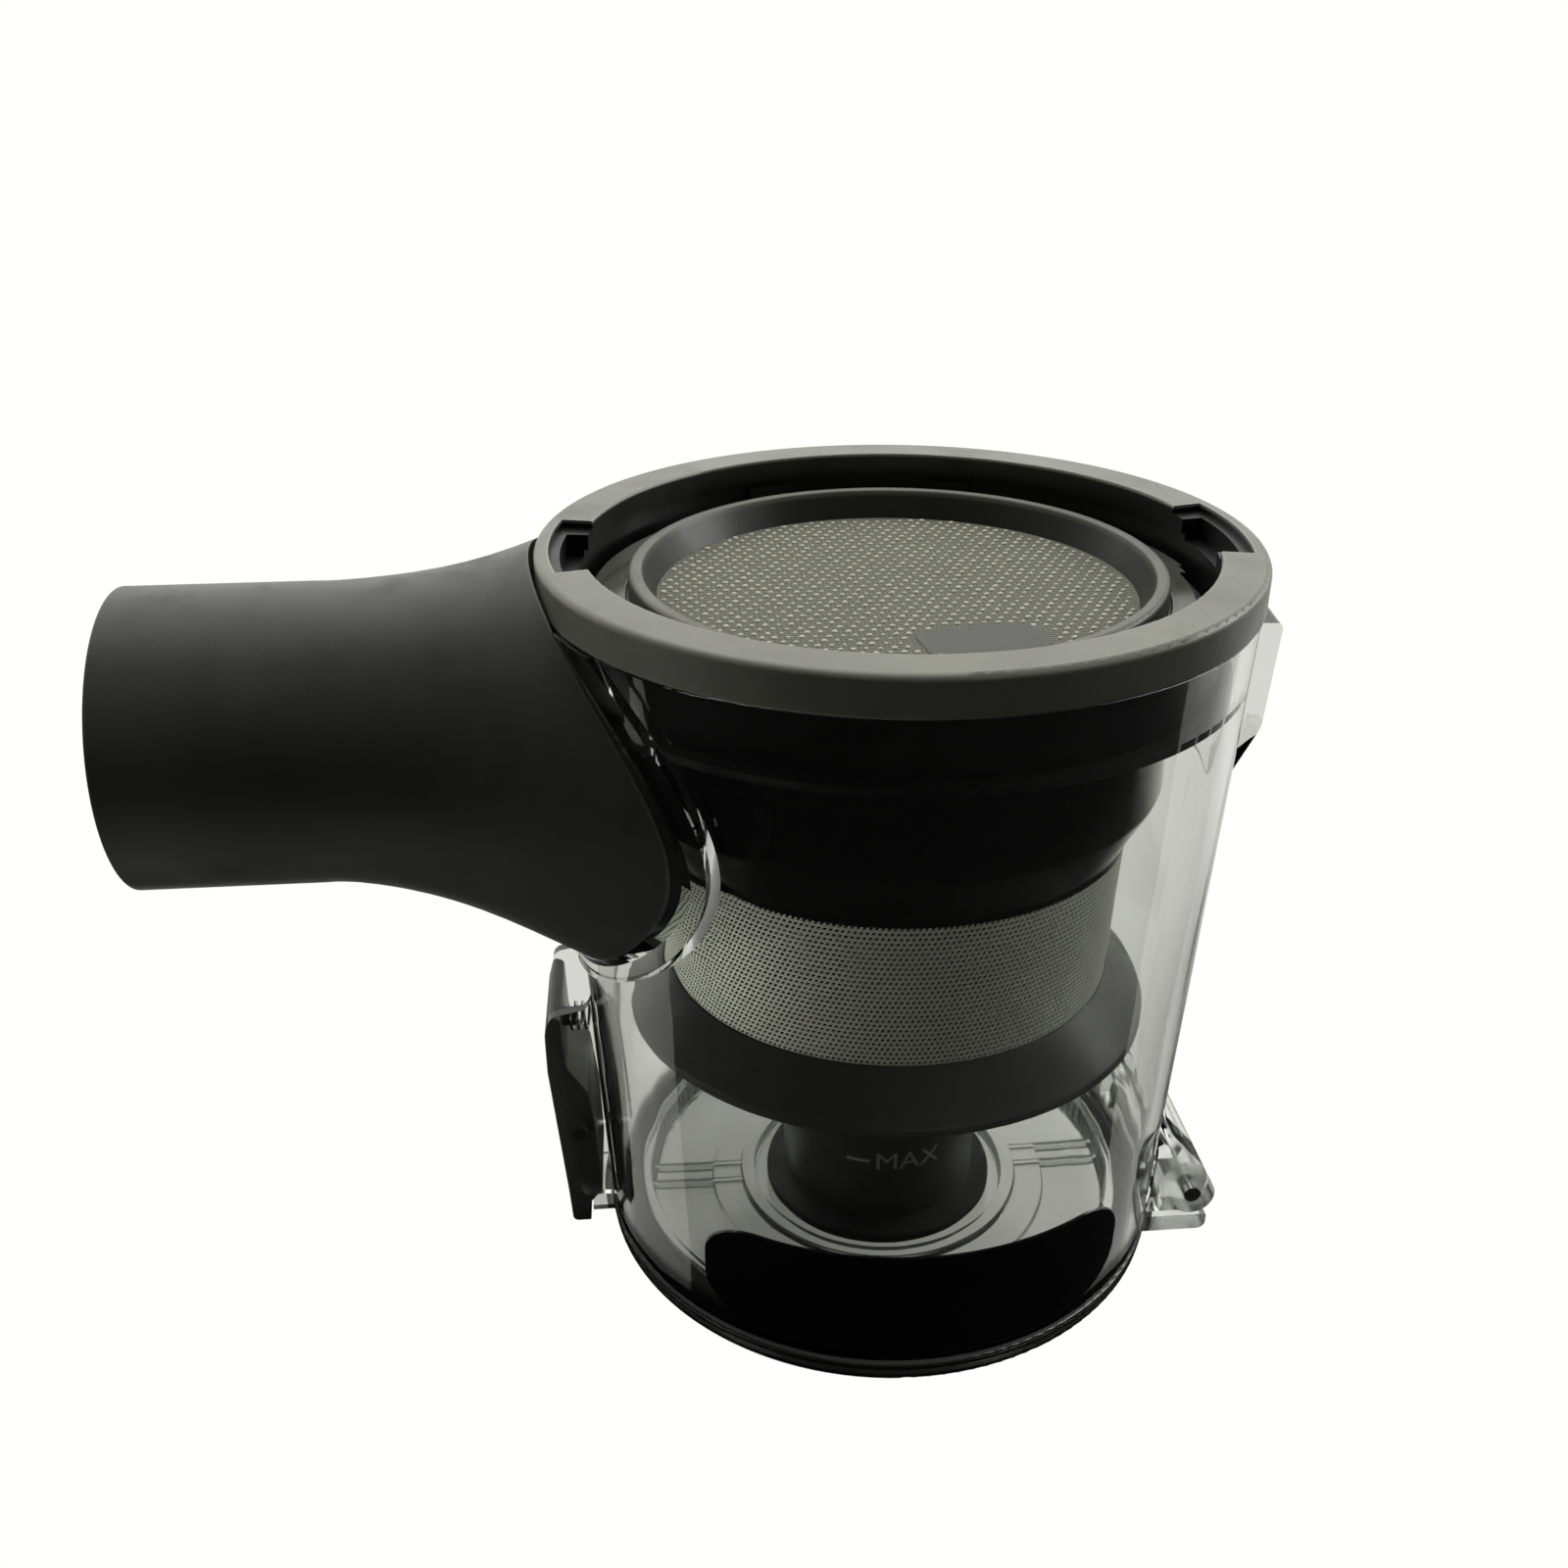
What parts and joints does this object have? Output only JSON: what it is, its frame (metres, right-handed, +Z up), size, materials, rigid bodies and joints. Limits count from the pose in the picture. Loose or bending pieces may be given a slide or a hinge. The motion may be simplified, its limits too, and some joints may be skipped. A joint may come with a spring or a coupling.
{
  "type": "cyclone dust bin",
  "caption": "Clear tapered vacuum dust bin with a flared inlet duct, bayonet collar, mesh shroud, pleated filter, drop-down lid and sprung release latch.",
  "frame": {"origin": "middle of the lid's underside, on the bin's axis", "axes": "+Z up the bin's axis to the collar, -X out of the inlet duct, +X to the lid hinge"},
  "size_m": [0.1732, 0.108, 0.122],
  "materials": {
    "clear_plastic": "clear moulded",
    "grey_plastic": "fine satin grain",
    "black_plastic": "polished",
    "dark_plastic": "satin",
    "soft_rubber": "matt",
    "seal_rubber": "matt",
    "steel_mesh": "perforated",
    "filter_plastic": "satin",
    "filter_paper": "pleated paper",
    "filter_weave": "coarse weave",
    "panel_black": "satin film",
    "pin_steel": "drawn",
    "lever_black": "satin"
  },
  "bodies": {
    "bin": {"bin_shell": "clear_plastic", "inlet_duct": "grey_plastic", "inlet_gasket": "soft_rubber", "top_collar": "grey_plastic", "collar_seal": "soft_rubber", "shroud_head": "black_plastic", "head_gasket": "soft_rubber", "mesh_cage": "black_plastic", "mesh_screen": "steel_mesh", "skirt": "dark_plastic", "dust_post": "dark_plastic", "post_boot": "soft_rubber", "cyclone_cone": "dark_plastic", "vortex_plate": "dark_plastic", "filter_frame": "filter_plastic", "filter_media": "filter_paper", "filter_fabric": "filter_weave", "filter_gasket": "soft_rubber", "front_decal": "panel_black", "hinge_pin": "pin_steel", "latch_pin": "pin_steel", "latch_spring": "pin_steel"},
    "lid": {"lid_disc": "clear_plastic", "lid_seal": "seal_rubber"},
    "latch": {"latch_lever": "lever_black"}
  },
  "joints": [
    {"name": "lid_swing", "type": "hinge", "parent": "bin", "child": "lid", "pos_m": [0.0526, 0, 0.0076], "axis": [0, -1, 0], "range_deg": [0, 95]},
    {"name": "latch_rock", "type": "hinge", "parent": "bin", "child": "latch", "pos_m": [-0.0526, 0, 0.022], "axis": [0, 1, 0], "range_deg": [0, 8], "stiffness_Nm_per_rad": 0.05, "springref_deg": -8.59, "deforming": ["latch_spring"]}
  ]
}
